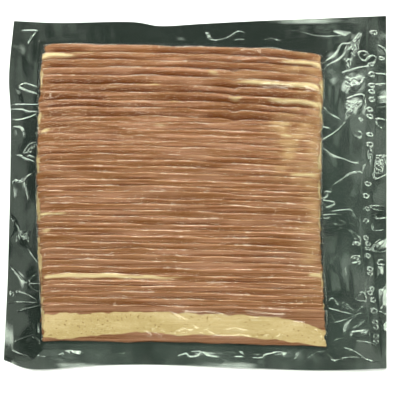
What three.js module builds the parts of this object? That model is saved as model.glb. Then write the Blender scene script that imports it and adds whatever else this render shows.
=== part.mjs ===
// A flat vacuum pack of sliced turkey bacon.
// Thin slices lie shingled on a dark back film, each one a small step nearer the front, and a clear
// film is drawn down over them and meets the back film in a wide margin on all four sides.
// Millimetres, +Z up. The pack lies on z = 0 with its centre above the origin, and the slices run
// along X, from the first one laid, at the back (+Y), to the last, whose whole face shows in front.
import * as THREE from "three";

// Slices
const SLICE_COUNT = 40;
const SLICE_LENGTH = 238;
const SLICE_RUN = 32.5; // from a slice's foot to its crest, seen from above
const SLICE_STEP = 2.3; // height that each slice adds to the pile
const WIDE_STEPS = 9; // the first slices lie further apart
const WIDE_PITCH = 6.9;
const SLICE_PITCH = 5.36; // from one crest to the next in the rest of the pile
const FIRST_FOOT_Y = 95.5;
const CREST_JITTER = 0.7; // slices differ a little in width
const END_JITTER = 1.2; // and their ends don't line up
const PILE_CENTRE_X = -13.8;
const PILE_BOW = 0.0003; // the pile's centre line bows sideways by this times the square of the distance
const PILE_BOW_Y = 25;
const FIRST_DROP = 8; // how far a slice's right end lies in front of its left end
const LAST_DROP = 5;
const RANDOM_SEED = 40;

// Films
const BACK_THICKNESS = 0.4;
const CLEAR_THICKNESS = 0.4;
const FIT_GAP = 0.3; // clearance between pieces that touch
const CREST_CLEARANCE = 0.45; // clear film above a crest
const EDGE_CLEARANCE = 0.35; // and behind it
const VALLEY_RUN = 1.2; // the clear film bridges the corner behind each crest
const VALLEY_FILL = 0.8;
const SIDE_CLEARANCE = 0.9;
const WALL_SHIFT = 0.35; // horizontal thickness of the clear film where it drops at the sides
const FOOT_RUN = 2.5; // the clear film lands this far outside the pile
const MARGIN_LIFT = 2.5; // the margin waves up to this height
const MARGIN_REACH = 25;
const WAVE_LENGTH_X = 21;
const WAVE_LENGTH_Y = 26;

// Pouch outline: each edge is a smooth curve through a few points, listed along the edge
const TOP_EDGE = [
  [-155.7, 147.9],
  [-116, 146.2],
  [-56, 147.1],
  [-30, 143.6],
  [4, 145.3],
  [56, 147.9],
  [164.3, 152.2],
];
const BOTTOM_EDGE = [
  [-164.3, -143.6],
  [-137.6, -151.4],
  [-81.7, -147.9],
  [-12.9, -147.9],
  [98.9, -152.2],
  [164.3, -150.5],
];
const LEFT_EDGE = [
  [-155.7, 147.9],
  [-159.9, 100],
  [-158.2, 54],
  [-160.6, -60],
  [-164.3, -143.6],
];
const RIGHT_EDGE_X = 164.3;

// Mesh steps
const SLICE_COLUMNS = 8;
const BACK_ROW_STRIDE = 4;

const SLICE_THICKNESS = SLICE_STEP - FIT_GAP;
const PILE_BASE = BACK_THICKNESS + FIT_GAP;
const WIDE_RUN = WIDE_STEPS * WIDE_PITCH;
const NARROW_Y = FIRST_FOOT_Y - WIDE_RUN; // where the pitch changes

const meat = new THREE.MeshStandardMaterial({ color: 0xb3704f, roughness: 0.45, metalness: 0 });
const darkFilm = new THREE.MeshStandardMaterial({ color: 0x26302c, roughness: 0.3, metalness: 0 });
const clearFilm = new THREE.MeshStandardMaterial({
  color: 0xe6ebe4,
  roughness: 0.15,
  metalness: 0,
  transparent: true,
  opacity: 0.25,
});

// Even random numbers from 0 to 1, the same on every run.
function seededRandom(seed) {
  let state = seed;
  return () => {
    state = (state * 1664525 + 1013904223) % 4294967296;
    return state / 4294967296;
  };
}

// Smooth curve through an edge's points, read as one coordinate against the other.
function edgeCurve(points, from, to) {
  const spline = new THREE.SplineCurve(points.map(([x, y]) => new THREE.Vector2(x, y)));
  const samples = spline.getPoints(20 * points.length);
  const rising = samples[samples.length - 1][from] > samples[0][from];
  const ordered = rising ? samples : samples.reverse();
  return (value) => {
    const next = ordered.findIndex((p) => p[from] >= value);
    if (next === 0) return ordered[0][to];
    if (next < 0) return ordered[ordered.length - 1][to];
    const [a, b] = [ordered[next - 1], ordered[next]];
    return THREE.MathUtils.mapLinear(value, a[from], b[from], a[to], b[to]);
  };
}

const topEdge = edgeCurve(TOP_EDGE, "x", "y");
const bottomEdge = edgeCurve(BOTTOM_EDGE, "x", "y");
const leftEdge = edgeCurve(LEFT_EDGE, "y", "x");

// A closed thin solid over a grid of points. place(column, row) gives the upper and the lower point,
// row 0 lies at the back, and both faces are split into triangles alike.
function thinSolid(columns, rows, place) {
  const face = new THREE.PlaneGeometry(1, 1, columns, rows);
  const upper = [];
  const lower = [];
  for (let row = 0; row <= rows; row++) {
    for (let column = 0; column <= columns; column++) {
      const { top, bottom } = place(column, row);
      upper.push(...top);
      lower.push(...bottom);
    }
  }
  const count = (columns + 1) * (rows + 1);
  const triangles = [...face.index.array];
  for (let k = 0; k < face.index.count; k += 3) {
    const [a, b, c] = face.index.array.slice(k, k + 3);
    triangles.push(count + a, count + c, count + b);
  }
  const rim = [];
  for (let column = 0; column < columns; column++) rim.push(column);
  for (let row = 0; row < rows; row++) rim.push(row * (columns + 1) + columns);
  for (let column = columns; column > 0; column--) rim.push(rows * (columns + 1) + column);
  for (let row = rows; row > 0; row--) rim.push(row * (columns + 1));
  rim.forEach((a, k) => {
    const b = rim[(k + 1) % rim.length];
    triangles.push(a, b, count + a, b, count + b, count + a);
  });
  const solid = new THREE.BufferGeometry();
  solid.setAttribute("position", new THREE.Float32BufferAttribute([...upper, ...lower], 3));
  solid.setIndex(triangles);
  solid.computeVertexNormals();
  return solid;
}

// Where the foot of a slice lies at its left end.
function footAt(order) {
  const wide = Math.min(order, WIDE_STEPS);
  return FIRST_FOOT_Y - wide * WIDE_PITCH - (order - wide) * SLICE_PITCH;
}

// How many slices have their foot behind a place along the pack, counted smoothly.
function feetBehind(y) {
  const ahead = Math.max(FIRST_FOOT_Y - y, 0);
  const wide = Math.min(ahead, WIDE_RUN);
  return wide / WIDE_PITCH + (ahead - wide) / SLICE_PITCH;
}

// The pile's centre line at a place along the pack, straight past the last crest.
const LAST_CREST_Y = footAt(SLICE_COUNT - 1) + SLICE_RUN;
function pileCentre(y) {
  return PILE_CENTRE_X + PILE_BOW * (Math.max(y, LAST_CREST_Y) - PILE_BOW_Y) ** 2;
}

// Each slice's own measures: where its crest and foot lie at its left end, and its two ends.
const random = seededRandom(RANDOM_SEED);
const jitter = (amount) => amount * (2 * random() - 1);
const slices = Array.from({ length: SLICE_COUNT }, (_, order) => {
  const foot = footAt(order);
  const crest = foot + SLICE_RUN + jitter(CREST_JITTER);
  const centre = pileCentre(crest);
  return {
    order,
    crest,
    foot,
    left: centre - SLICE_LENGTH / 2 + jitter(END_JITTER),
    right: centre + SLICE_LENGTH / 2 + jitter(END_JITTER),
    drop: THREE.MathUtils.lerp(FIRST_DROP, LAST_DROP, order / (SLICE_COUNT - 1)),
  };
});

// Height of a slice's underside: one step for each slice under it there. It climbs from its foot, and
// lies level where all the slices before it lie under it.
const underside = (slice, y) => PILE_BASE + SLICE_STEP * (slice.order - feetBehind(y));

// How far a slice lies forward at a share of its length: its right end droops to the front.
const forward = (slice, share) => -slice.drop * share * share;

const crestHeight = (slice) => underside(slice, slice.crest) + SLICE_THICKNESS;

// A slice's rows lie at its crest, at its foot and where it bends between them.
function sliceSolid(slice) {
  const bends = [FIRST_FOOT_Y, NARROW_Y].filter((y) => y > slice.foot && y < slice.crest);
  const across = [slice.crest, ...bends, slice.foot];
  return thinSolid(SLICE_COLUMNS, across.length - 1, (column, row) => {
    const share = column / SLICE_COLUMNS;
    const x = THREE.MathUtils.lerp(slice.left, slice.right, share);
    const y = across[row] + forward(slice, share);
    const z = underside(slice, across[row]);
    return { top: [x, y, z + SLICE_THICKNESS], bottom: [x, y, z] };
  });
}

// How far the margin's film waves up from the surface under the pack, nothing near the pile.
function marginWave(x, y) {
  const beside = Math.abs(x - pileCentre(y)) - SLICE_LENGTH / 2 - FOOT_RUN;
  const first = slices[0].crest + FOOT_RUN;
  const last = slices[SLICE_COUNT - 1].foot - LAST_DROP - FOOT_RUN;
  const outside = Math.max(beside, y - first, last - y, 0);
  const share = Math.min(outside / MARGIN_REACH, 1);
  return MARGIN_LIFT * share * (0.5 + 0.5 * Math.sin(x / WAVE_LENGTH_X + Math.sin(y / WAVE_LENGTH_Y)));
}

// Rows of the films' grid, from the back edge to the front one. offset is the row's y at a share of
// the slices' length, height the clear film's underside there, or null in the margin.
function filmRows() {
  const first = slices[0];
  const last = slices[SLICE_COUNT - 1];
  const rows = [{ edge: 1 }, { edge: 0.5 }];
  rows.push({ offset: (share) => first.crest + FOOT_RUN + forward(first, share), height: null });
  slices.forEach((slice, order) => {
    if (order > 0) {
      const under = slices[order - 1];
      const y = slice.crest + VALLEY_RUN;
      rows.push({
        offset: (share) => y + forward(slice, share),
        height: underside(under, y) + SLICE_THICKNESS + VALLEY_FILL,
      });
    }
    rows.push({
      offset: (share) => slice.crest + EDGE_CLEARANCE + forward(slice, share),
      height: crestHeight(slice) + CREST_CLEARANCE,
    });
  });
  for (const part of [2 / 3, 1 / 3, 0]) {
    const y = THREE.MathUtils.lerp(last.foot, last.crest, part);
    rows.push({
      offset: (share) => y + forward(last, share),
      height: underside(last, y) + SLICE_THICKNESS + CREST_CLEARANCE,
    });
  }
  rows.push({ offset: (share) => last.foot - FOOT_RUN + forward(last, share), height: null });
  rows.push({ edge: -0.5 }, { edge: -1 });
  return rows;
}

// Columns of the films' grid. side is -1 or 1 in a side margin, with outward from 0 at the pile's
// foot to 1 at the pouch's edge, and share runs along the slices between.
function filmColumns() {
  const inner = Array.from({ length: SLICE_COLUMNS + 1 }, (_, k) => ({ share: k / SLICE_COLUMNS }));
  return [
    ...[1, 0.5, 0].map((outward) => ({ side: -1, outward, share: 0 })),
    ...inner,
    ...[0, 1 / 3, 2 / 3, 1].map((outward) => ({ side: 1, outward, share: 1 })),
  ];
}

// Place of a grid point in the plane: margins run from the pile's foot out to the pouch's edge.
function gridPoint(column, row, rows) {
  const inset = SLICE_LENGTH / 2 + END_JITTER + SIDE_CLEARANCE;
  const nearRow = row.edge > 0 ? rows[2] : rows[rows.length - 3];
  const offset = row.offset ?? nearRow.offset;
  const near = offset(column.share);
  const centre = pileCentre(offset(0));
  let x = centre - inset + 2 * inset * column.share;
  if (column.side) {
    const foot = centre + column.side * (inset + FOOT_RUN);
    const edge = column.side < 0 ? leftEdge(near) : RIGHT_EDGE_X;
    x = THREE.MathUtils.lerp(foot, edge, column.outward);
    if (row.edge && column.outward === 1) {
      x = column.side < 0 ? (row.edge > 0 ? TOP_EDGE : BOTTOM_EDGE)[0][0] : RIGHT_EDGE_X;
    }
  }
  if (!row.edge) return { x, y: near };
  const edge = row.edge > 0 ? topEdge(x) : bottomEdge(x);
  return { x, y: THREE.MathUtils.lerp(near, edge, Math.abs(row.edge)) };
}

const rows = filmRows();
const columns = filmColumns();

function backFilmSolid() {
  const isMargin = (row) => row.edge || row.height === null;
  const kept = rows.filter((row, k) => isMargin(row) || k % BACK_ROW_STRIDE === 0);
  return thinSolid(columns.length - 1, kept.length - 1, (c, r) => {
    const { x, y } = gridPoint(columns[c], kept[r], rows);
    const z = marginWave(x, y);
    return { top: [x, y, z + BACK_THICKNESS], bottom: [x, y, z] };
  });
}

function clearFilmSolid() {
  return thinSolid(columns.length - 1, rows.length - 1, (c, r) => {
    const column = columns[c];
    const { x, y } = gridPoint(column, rows[r], rows);
    const margin = column.side || rows[r].edge || rows[r].height === null;
    const low = margin ? marginWave(x, y) + BACK_THICKNESS + FIT_GAP : rows[r].height;
    const atWall = column.outward === 0 || column.share === 0 || column.share === 1;
    const inward = atWall && !(column.outward > 0) ? WALL_SHIFT * (column.share === 0 ? 1 : -1) : 0;
    return { top: [x, y, low + CLEAR_THICKNESS], bottom: [x + inward, y, low] };
  });
}

function named(name, geometry, material) {
  const mesh = new THREE.Mesh(geometry, material);
  mesh.name = name;
  return mesh;
}

const pack = new THREE.Group();
pack.name = "turkey_bacon_pack";
pack.add(named("back_film", backFilmSolid(), darkFilm));
slices.forEach((slice) => {
  const number = String(slice.order + 1).padStart(2, "0");
  pack.add(named(`slice_${number}`, sliceSolid(slice), meat));
});
pack.add(named("clear_film", clearFilmSolid(), clearFilm));

export default pack;
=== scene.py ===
"""A flat vacuum pack of sliced turkey bacon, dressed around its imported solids.

Every slice is a closed slab of meat with an uneven crest. A clear film is drawn down over the pile,
and in the margin it is welded to a dark back film, with puckers, creases and a blistered seal band.
Sizes are millimetres until a mesh is made, and places in the photograph are its pixels.
"""
import math

import bpy
import numpy as np
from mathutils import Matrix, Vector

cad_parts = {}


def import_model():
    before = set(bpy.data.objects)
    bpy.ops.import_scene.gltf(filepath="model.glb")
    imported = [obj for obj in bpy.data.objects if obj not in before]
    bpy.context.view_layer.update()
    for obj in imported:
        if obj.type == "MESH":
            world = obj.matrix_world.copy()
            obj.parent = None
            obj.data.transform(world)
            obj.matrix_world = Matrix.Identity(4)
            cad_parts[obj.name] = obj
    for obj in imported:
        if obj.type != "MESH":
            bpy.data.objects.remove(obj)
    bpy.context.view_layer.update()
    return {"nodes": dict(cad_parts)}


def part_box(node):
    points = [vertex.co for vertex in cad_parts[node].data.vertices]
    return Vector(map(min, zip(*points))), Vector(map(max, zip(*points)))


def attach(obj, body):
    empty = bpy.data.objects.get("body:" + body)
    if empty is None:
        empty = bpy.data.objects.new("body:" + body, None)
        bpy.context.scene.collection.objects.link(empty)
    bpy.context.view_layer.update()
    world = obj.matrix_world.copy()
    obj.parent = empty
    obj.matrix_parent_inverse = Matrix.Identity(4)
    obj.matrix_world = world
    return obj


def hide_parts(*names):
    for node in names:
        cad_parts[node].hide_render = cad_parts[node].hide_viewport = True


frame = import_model()

MM = 0.001
PIXEL = 0.86  # one pixel of the photograph
PHOTO_SIDE = 400  # the photograph's width and height in pixels
PHOTO_ORIGIN = (195, 193)  # the pixel that shows the middle of the pack

# The pile of slices
SLICE_STEP = 2.3
SLICE_THICKNESS = 2.0
SLICE_RUN = 32.5
WIDE_STEPS = 9
WIDE_PITCH = 6.9
SLICE_PITCH = 5.36
FIRST_FOOT_Y = 95.5
FIRST_DROP = 8
LAST_DROP = 5
FIRST_BEND_POWER = 3  # the first slice lies straight for longer before it bends to the front
LAST_BEND_POWER = 2
PILE_BASE = 0.7
PILE_CENTRE_X = -13.8
PILE_BOW = 0.0003
PILE_BOW_Y = 25
HALF_PILE = 119
CREST_WANDER = 0.45  # how unevenly a crest runs
DIP_X = 234  # photograph column where some crests dip to the front, between two photograph rows
DIP_ROWS = (64, 128)
DIP_DEPTH = 1.5
DIP_WIDTH = 3.5
LEAST_STRIP = 2.4  # two crests come no nearer than this
END_REACH = 5  # the slices' ends sag over this length
END_SAG = 0.012
SWELL = 0.3
SWELL_HEIGHT = 15  # the pile's swell is full from this height on
CORNER_REACH = 8
CORNER_DROOP = 2.0
RIGHT_CORNER_SHARE = 0.6  # the right corners droop by this share of the left ones' droop

# One slice
EDGE_NOSE = -0.12  # height of a slice edge's furthest point, as a share of the thickness
FOOT_ANGLES = (0, 40, 75)  # degrees round the foot's edge, and round the crest's
CREST_ANGLES = (80, 62, 44, 26, 10, 0)
EDGE_GAP = 0.4  # the flat run starts this far inside both edges
RUN_CROWDING = 1.6  # and its points crowd towards the crest by this power
UNDERSIDE_DROP = 0.02  # as a share of the thickness
RUN_POINTS = 10
LAST_RUN_POINTS = 40
END_COLUMNS = np.array([0, 0.2, 0.5, 0.9, 1.5])  # columns near a slice's end, by their distance from it
MIDDLE_START = 2.6  # the even columns start this far from the end
MIDDLE_COLUMNS = 86
FOOT_WANDER = 0.3
END_ROUNDING = 1.2  # a slice's end is rounded off over this length
LEAST_ROUNDNESS = 0.06
END_RAGGEDNESS = 0.5
RAGGED_REACH = 4
END_SPREAD = 0.06  # how much further out a slice's end lies for each millimetre from its crest
SPREAD_REACH = 12

# The colours of the meat
RIM_HIGHLIGHT_WIDTH = 0.8  # a crest's paler rim: partly its own colour, partly a painted highlight
RIM_HIGHLIGHT_STRENGTH = 0.55
END_STRETCH = (1, 10)  # rims and shadows fade in over this stretch from a slice's end
STREAK_WIDTH = 0.33  # half width of a pale streak, as a share of the strip
STREAK_TAPER = 0.4  # a streak's end tapers over this share of its length
STREAK_BLUNT_END = 4  # or over this where it runs out at the pile's end
STREAK_ENDS = (60, 310)  # photograph columns beyond which a streak runs out at the pile's end
STREAK_EASE = 1
STREAK_WANDER = 0.3
CREAM_START = 9.5  # the pale band's distance from the crest
CREAM_WANDER = 1.1
CREAM_WIDTH = 15
LAST_UPPER_WANDER = 0.5  # how unevenly the last slice's band starts, and how unevenly it ends
LAST_LOWER_WANDER = 0.4
LAST_SHADE = 0.13  # the last slice is this much darker, as a share
LAST_TONE = 1.0  # and this pink
WIDE_TONE = -0.4  # the wide strips are this much less pink
TONE_SPREAD = 0.4  # how much slices differ in tone, and how much a slice does along its length
WIDE_SHADOW = (0.02, 0.8, 0.85)  # a wide strip's shadow: its start and full depth across the strip, and depth
NARROW_SHADOW = (0.15, 1, 0.27)
SHADOW_START_SPREAD = 0.25
SHADOW_WANDER = 0.3
LEAST_SHADOW = 0.15
RIGHT_SHADOW_LOSS = 0.2  # the shadows grow weaker by this to the pile's right, over a stretch of x
RIGHT_STRETCH = (60, 110)
PATCH_SHIFT = 8  # a slice's fat patches lie up to this much to one side
PATCH_LEVEL = 0.8
PATCH_UNEVENNESS = 0.4

# The film over the pile
HALF_INSIDE = 121.1
FOOT_RUN = 2.5
CLEAR_THICKNESS = 0.15
FILM_CLEARANCE = 0.3
VALLEY_WIDTH = 1.78  # the film bridges this much before a crest
LEVEL_VALLEY_WIDTH = 3.2  # and this much over the level slices
VALLEY_UNEVENNESS = 0.04
END_VALLEY = (0, 9)  # the valleys grow to their full width over this stretch inside the pile's ends
END_VALLEY_SHARE = 0.3  # from this share of it
WIDEST_VALLEY = 0.6  # as a share of the strip
GLINT_SLOPE = 0.26  # where the film catches the light along a crest it rises to the front this steeply
GLINT_WIDTH = 1.2
LEAST_GLINT = 0.12
GLINT_STRETCHES = (0.1, 1.1)  # a glint's long waves, and then its beads, are eased in between these sizes
GLINT_BEADS = (-1.0, 0.3)
GLINT_ENDS = (3, 12)  # the glints grow to their full width over this stretch inside the pile's ends
CREST_SLOPE = -0.2  # the film's slope to the front as it leaves a crest
CREST_RUN = 1.8  # past a crest the film settles on the slice over this length
LONGEST_SETTLING = 0.7  # or over this share of what there is
BEND = 0.05  # the film bends this sharply where it leaves a slice and where it meets a crest
FILM_LIFT = 0.12
LEVEL_LIFT = 0.7  # how much higher the film stands at the crest of a level slice
RUFFLE = 0.06
RUFFLE_HEIGHTS = (2, 6)  # the ruffles grow between these heights
KINK_WIDTH = 2.2
BACK_KINK_SLOPE = 0.36
FILM_COLUMNS = 190
BACK_COLUMNS = 280
LAST_COLUMNS = 480
WALL_COLUMNS = 8
EVEN_SHARE = 0.992  # the even columns cover this share of the pile's length, and these shares follow
NEAR_END = (0.996, 0.999, 1)
LAST_ROWS = 78
FACET_SHARES = (-0.5, -0.35, 0.35, 0.5)  # rows of film across a crest's facet
SETTLING_SHARES = (0.3, 0.65, 1)  # and down to the slice
LEVEL_SHARES = (0.3, 0.6, 0.8)  # extra rows over the level slices, in a valley
LEVEL_RUN_SHARES = (0.3, 0.6)  # and along the slice
FOOT_SHARES = (0.06, 0.5, 0.94, 1.0)  # rows down to the margin
CUT_SLICES = (9, 24)  # the film over the strips is cut in the valleys of these slices
CUT_ROW = 3  # at this row, counted from the strip's last

# The margin
BACK_THICKNESS = 0.35
MARGIN_FILM_GAP = 0.3
FOOT_HEIGHT = BACK_THICKNESS + MARGIN_FILM_GAP  # the clear film's underside where it meets the margin
MARGIN_LIFT = 2.2
MARGIN_REACH = 25
WAVE_LENGTH_X = 21
WAVE_LENGTH_Y = 26
BACK_CALM = 0.6  # the wave loses this share towards the back, over a stretch of y
BACK_STRETCH = (50, 150)
LEAST_SLACK = 0.15
SIDE_SLACK = 0.4  # more slack away from the back, over a stretch of y
SIDE_STRETCH = (135, 80)
OUTER_SLACK = 0.45  # and more at the right and in front, over stretches of x and of y
OUTER_RIGHT = (100, 120)
OUTER_FRONT = (-115, -130)
LEFT_TAUTNESS = 0.5  # the left margin loses this share of the slack
LEFT_STRETCH = (-120, -140)
SLACK_HEIGHT = 0.25
SLACK_LEVEL = 2.4  # how much of the slack is there without its waves
FRONT_RISE = 0.145  # slope of both films along the front edge
FRONT_RISE_Y = -139
FRONT_ROUNDING = 2
FRONT_CORNER = (-165, -135)  # the front edge starts to rise over this stretch of x
FRONT_CALM = 0.7  # the slack loses this share along the front edge, over a run
FRONT_CALM_RUN = 8
SOFT_RIPPLE = 0.06
CREASE_SLOPE = 0.285  # slope of a crease's flanks
TOP_CREASE_SLOPE = 0.145  # and of those along the top
CREASE_UNEVENNESS = 0.11  # how much that slope wanders along a crease
CREASE_WIDTH = 0.88
CREASE_TAPER = (6, 0.5)  # how fast a crease grows from its ends, and its least share there
CREASE_EASE = 0.8  # the margin's creases start over this length outside the pile
FOOT_EASE = 5  # and its soft relief over this
FOLD_WIDTH = 6
FOLD_TAPER = (3, 0.4)
CRUMPLE_HEIGHT = 0.08
CRUMPLE_LEVEL = 1.5
CRUMPLE_EASE = (-0.5, 1)
BAND_START = 143.6  # the seal band's film runs from here to the right edge
BAND_HALF_WIDTH = 4.7
BAND_DEPTH = 0.07
BAND_BORDER = 0.5
SEAL_SLOPE = 0.045  # slope of the film beyond the seal band
SEAL_LEVEL = 0.7
SEAL_UNEVENNESS = 0.4
HAZE_LEVEL = 0.6
HAZE_UNEVENNESS = 0.5
BLISTER_SLOPE = 0.28
BLISTER_BORDER = 0.85
BLISTER_RING = 0.8  # a blister's ring lies at this share of its half width
EDGE_STEPS = 20  # points on each stretch of a pouch edge
FOOT_POINTS = 60
HALF_POINTS = 200
BACK_SHEET = (112, 120)  # rows and columns of each sheet of film
BACK_STRIP = (44, 520)
LEFT_STRIP = (56, 640)
FRONT_STRIP = (42, 700)
RIGHT_STRIP = (104, 420)
SEAL_STRIP = (70, 500)
SHARP_EDGE = math.radians(75)

# The stage
CAMERA_DISTANCE = 1600
CAMERA_SENSOR = 36
LIGHT_DISTANCE = 1.3  # metres
LIGHT_COLOUR = (0.95, 1.0, 0.93)
PANEL_POLAR = 31  # degrees from straight above
HAZE_POLAR = 15
SIDE_TURNS = (80, 110, 250, 280)  # degrees clockwise from the back
CORNER_TURNS = (50, 140, 220, 310)
FLOOR_HALF = 6000
FLOOR_COLOUR = (0.9, 0.9, 0.89, 1)
WORLD_COLOUR = (0.03, 0.034, 0.03, 1)

# Where a mixing node takes and gives colours, among its inputs and its outputs
MIX_FIRST = 6
MIX_SECOND = 7
MIX_RESULT = 2

# The pouch's outline, as smooth curves through a few points of each edge
TOP_EDGE = [
    (-155.7, 147.9), (-116, 146.2), (-56, 147.1), (-30, 143.6), (4, 145.3), (56, 147.9), (164.3, 152.2),
]
BOTTOM_EDGE = [
    (-164.3, -143.6), (-137.6, -151.4), (-81.7, -147.9), (-12.9, -147.9), (98.9, -152.2), (164.3, -150.5),
]
LEFT_EDGE = [(-155.7, 147.9), (-159.9, 100), (-158.2, 54), (-160.6, -60), (-164.3, -143.6)]
RIGHT_EDGE = [(164.3, 152.2), (164.3, -150.5)]

# Creases of the margin film, each a path of photograph pixels
LEFT_CREASES = [
    [(22, 31), (37, 31)],
    [(37, 32), (33, 37), (29, 43)],
    [(39, 95), (27, 91), (20, 87), (25, 84), (39, 88)],
    [(12, 105), (38, 105)],
    [(12, 110), (22, 110), (29, 112), (39, 112)],
    [(39, 113), (31, 117), (21, 120), (13, 120)],
    [(14, 127), (21, 128), (24, 132), (25, 138)],
    [(37, 143), (31, 144), (28, 147), (25, 153), (32, 152), (37, 146)],
    [(12, 156), (21, 156), (25, 159), (32, 161), (37, 165)],
    [(28, 158), (30, 156), (36, 159)],
    [(14, 181), (24, 181), (27, 177), (34, 173)],
    [(25, 183), (29, 200)],
    [(12, 219), (17, 224), (20, 231), (20, 238), (23, 237), (25, 240), (28, 233), (29, 242)],
    [(29, 249), (33, 255), (42, 265), (42, 253), (40, 243)],
    [(36, 224), (40, 230), (44, 239)],
    [(10, 265), (17, 273), (27, 282), (32, 277), (40, 274)],
    [(43, 284), (31, 284), (31, 286), (36, 290), (42, 294)],
    [(20, 291), (30, 295), (43, 304)],
    [(9, 303), (21, 302), (43, 304)],
    [(18, 311), (43, 305)],
]
BOTTOM_CREASES = [
    [(16, 341), (24, 338), (32, 336), (38, 340), (44, 347)],
    [(14, 350), (25, 354), (45, 357)],
    [(47, 347), (54, 346), (60, 344)],
    [(64, 344), (71, 351), (80, 355)],
    [(58, 356), (62, 354), (67, 356)],
    [(112, 345), (119, 348), (126, 346)],
    [(154, 347), (160, 348), (166, 346)],
    [(178, 356), (186, 354), (190, 357), (198, 356), (200, 352), (192, 352)],
    [(202, 352), (208, 356), (218, 357)],
    [(234, 357), (243, 357)],
    [(240, 352), (244, 355)],
    [(253, 358), (262, 358), (266, 355), (280, 352), (283, 356), (288, 351)],
    [(292, 360), (300, 351)],
    [(304, 361), (314, 354), (322, 351)],
    [(329, 357), (334, 361), (344, 358), (353, 357), (361, 357)],
    [(336, 348), (349, 349), (358, 354), (365, 359), (382, 363)],
]
TOP_CREASES = [
    [(284, 30), (299, 32), (314, 36), (326, 37), (345, 36)],
    [(306, 30), (322, 31), (336, 33), (348, 37)],
    [(206, 33), (208, 37), (210, 40), (216, 41), (222, 40)],
    [(222, 40), (228, 38), (233, 35), (238, 32), (243, 33), (246, 38), (250, 42)],
    [(234, 41), (241, 40), (247, 42)],
    [(259, 43), (266, 40), (272, 39), (279, 41), (290, 43), (300, 46)],
    [(264, 43), (272, 42), (281, 43), (290, 46)],
]
RIGHT_CREASES = [
    [(359, 34), (351, 43), (341, 45), (335, 55), (325, 62)],
    [(361, 34), (359, 38), (353, 44)],
    [(347, 45), (344, 54), (339, 59), (327, 66)],
    [(364, 56), (367, 54), (365, 52), (360, 52), (358, 55), (361, 60), (365, 61), (369, 57), (373, 56),
     (376, 59)],
    [(376, 59), (374, 63), (369, 64), (367, 67), (359, 68), (352, 70), (343, 73), (347, 78)],
    [(364, 78), (359, 84), (350, 87), (346, 93)],
    [(347, 99), (352, 97), (359, 95), (363, 96), (364, 99), (365, 105)],
    [(349, 103), (355, 104), (361, 102), (358, 107), (352, 108), (352, 113)],
    [(347, 120), (343, 125), (338, 130), (333, 134), (326, 138), (320, 142)],
    [(320, 147), (325, 150), (331, 155), (338, 158), (345, 160), (352, 163), (357, 163), (364, 160)],
    [(370, 164), (365, 165), (362, 168), (361, 172), (356, 172), (349, 174), (344, 178), (334, 185),
     (330, 189)],
    [(330, 189), (330, 192), (325, 192), (327, 196), (322, 200), (334, 203), (326, 208), (322, 200)],
    [(321, 107), (325, 109), (329, 114), (339, 119)],
    [(321, 127), (330, 129)],
    [(351, 133), (355, 137), (359, 138), (361, 135), (359, 132), (355, 132)],
    [(324, 213), (337, 211), (345, 210), (351, 211), (355, 217), (359, 220)],
    [(340, 215), (332, 215), (321, 216), (326, 219), (333, 216)],
    [(347, 229), (352, 232), (360, 239), (357, 240), (350, 233)],
    [(353, 244), (360, 243)],
    [(351, 258), (355, 256), (361, 257)],
    [(353, 263), (361, 261)],
    [(354, 299), (362, 292), (365, 298), (364, 301), (358, 301), (354, 299)],
    [(327, 301), (333, 299), (340, 306)],
    [(340, 302), (346, 304), (352, 310), (343, 306)],
    [(353, 312), (358, 309), (363, 305)],
    [(327, 312), (329, 309), (341, 312), (353, 315), (347, 319), (336, 322), (330, 314)],
    [(344, 334), (346, 324), (356, 315), (365, 313)],
    [(349, 330), (358, 325), (364, 319)],
    [(352, 332), (360, 331), (367, 330)],
    [(332, 341), (341, 339), (346, 338)],
    [(352, 342), (361, 341), (370, 343), (375, 345)],
    [(379, 46), (383, 49), (386, 53)],
    [(376, 74), (386, 75)],
    [(376, 85), (386, 84)],
    [(386, 121), (377, 119), (376, 123), (379, 128), (386, 129)],
    [(375, 156), (386, 156)],
    [(386, 166), (382, 158), (376, 159), (375, 169), (373, 175), (377, 179), (386, 175)],
    [(386, 207), (372, 206), (371, 209), (386, 212)],
    [(386, 218), (377, 219), (374, 215)],
    [(372, 224), (373, 229), (378, 231), (386, 229)],
    [(386, 237), (378, 241), (374, 245), (372, 250), (377, 252), (386, 250)],
    [(386, 262), (380, 260), (376, 263), (380, 265), (386, 263)],
    [(378, 311), (386, 314)],
    [(384, 288), (386, 284)],
]

FOLDS = [  # broad soft folds of the margin film: steepest slope, and the path in photograph pixels
    (0.12, [(354, 40), (349, 56), (346, 70)]),
    (0.12, [(352, 78), (345, 92), (344, 108), (346, 122)]),
    (0.14, [(358, 80), (350, 90)]),
    (0.14, [(356, 104), (348, 116)]),
    (0.06, [(382, 94), (383, 108)]),
    (0.1, [(380, 158), (379, 176)]),
    (0.08, [(330, 74), (333, 92), (330, 112)]),
    (0.07, [(332, 150), (342, 170)]),
    (0.06, [(338, 222), (336, 232)]),
    (0.07, [(336, 258), (345, 282), (342, 300)]),
    (0.08, [(347, 318), (344, 334)]),
    (0.06, [(33, 34), (31, 50), (30, 68)]),
    (0.05, [(13, 50), (14, 74)]),
    (0.05, [(14, 178), (19, 196), (24, 206)]),
    (0.05, [(24, 226), (22, 244), (34, 256)]),
    (0.05, [(14, 264), (26, 280), (20, 300)]),
    (0.07, [(30, 316), (36, 334), (26, 348)]),
    (0.08, [(58, 352), (74, 353), (90, 353)]),
    (0.085, [(102, 355), (136, 354), (168, 353)]),
    (0.1, [(180, 357), (205, 355), (220, 357)]),
    (0.11, [(236, 355), (268, 357), (296, 355)]),
    (0.1, [(308, 355), (330, 352), (350, 352)]),
]

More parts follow.
